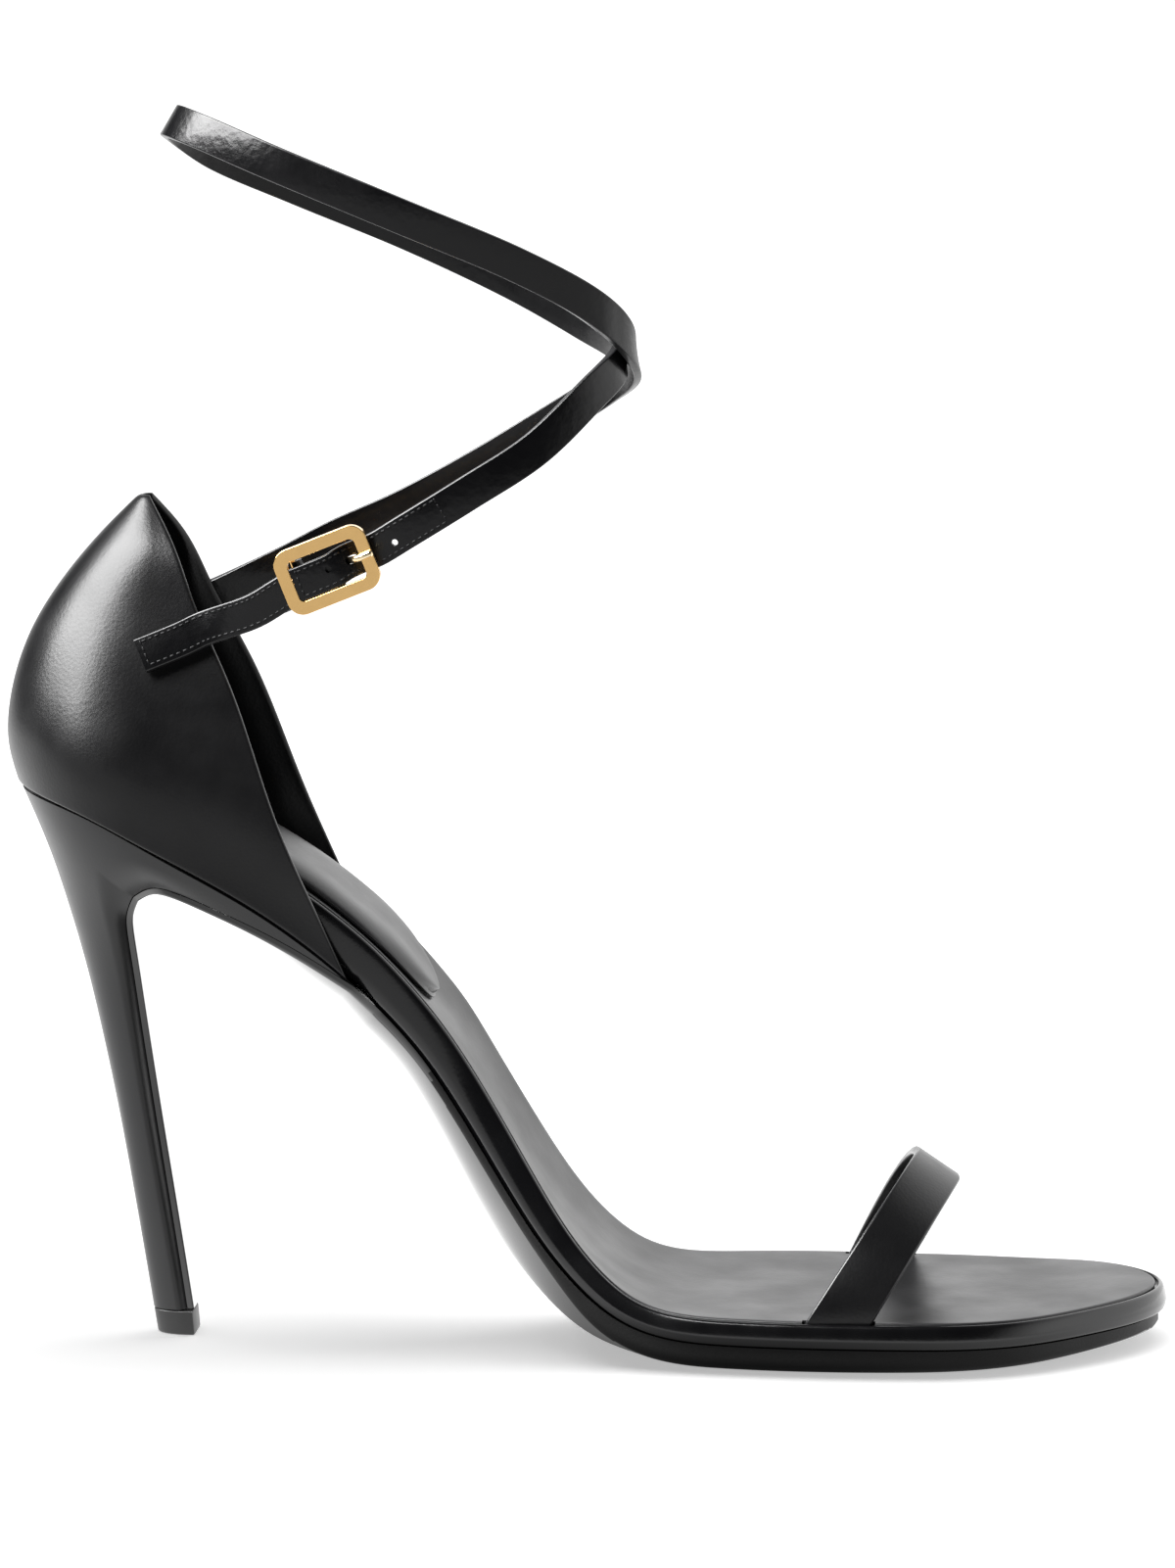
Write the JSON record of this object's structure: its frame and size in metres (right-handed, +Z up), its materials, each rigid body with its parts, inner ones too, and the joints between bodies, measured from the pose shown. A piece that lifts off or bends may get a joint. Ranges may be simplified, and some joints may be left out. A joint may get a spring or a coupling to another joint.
{
  "type": "strappy heeled sandal",
  "caption": "Black leather high-heeled sandal with closed pointed counter, narrow toe strap and a wrapped ankle strap closed by a gold buckle; right shoe.",
  "frame": {"origin": "centre of the top lift's ground face under the heel, on the ground plane", "axes": "+X towards the toe, +Y towards the inner side of the foot, +Z up from the ground"},
  "size_m": [0.2193, 0.0754, 0.2342],
  "materials": {
    "calf": "satin black calf leather",
    "strap": "glossy black leather with cut edges",
    "sole": "high gloss black leather",
    "board": "glossy black wrapped leather edge",
    "lining": "satin dark lining leather",
    "heel_cover": "satin black leather over a hard heel",
    "tip": "matt black hard rubber",
    "gold": "polished warm gold",
    "prong": "polished pale gold"
  },
  "bodies": {
    "root": {"outsole": "sole", "insole_board": "board", "sock_lining": "lining", "heel_pad": "lining", "heel": "heel_cover", "top_lift": "tip", "counter": "calf", "toe_strap": "strap", "buckle_strap": "strap", "ankle_strap": "strap", "buckle_frame": "gold", "buckle_prong": "prong"}
  },
  "joints": []
}
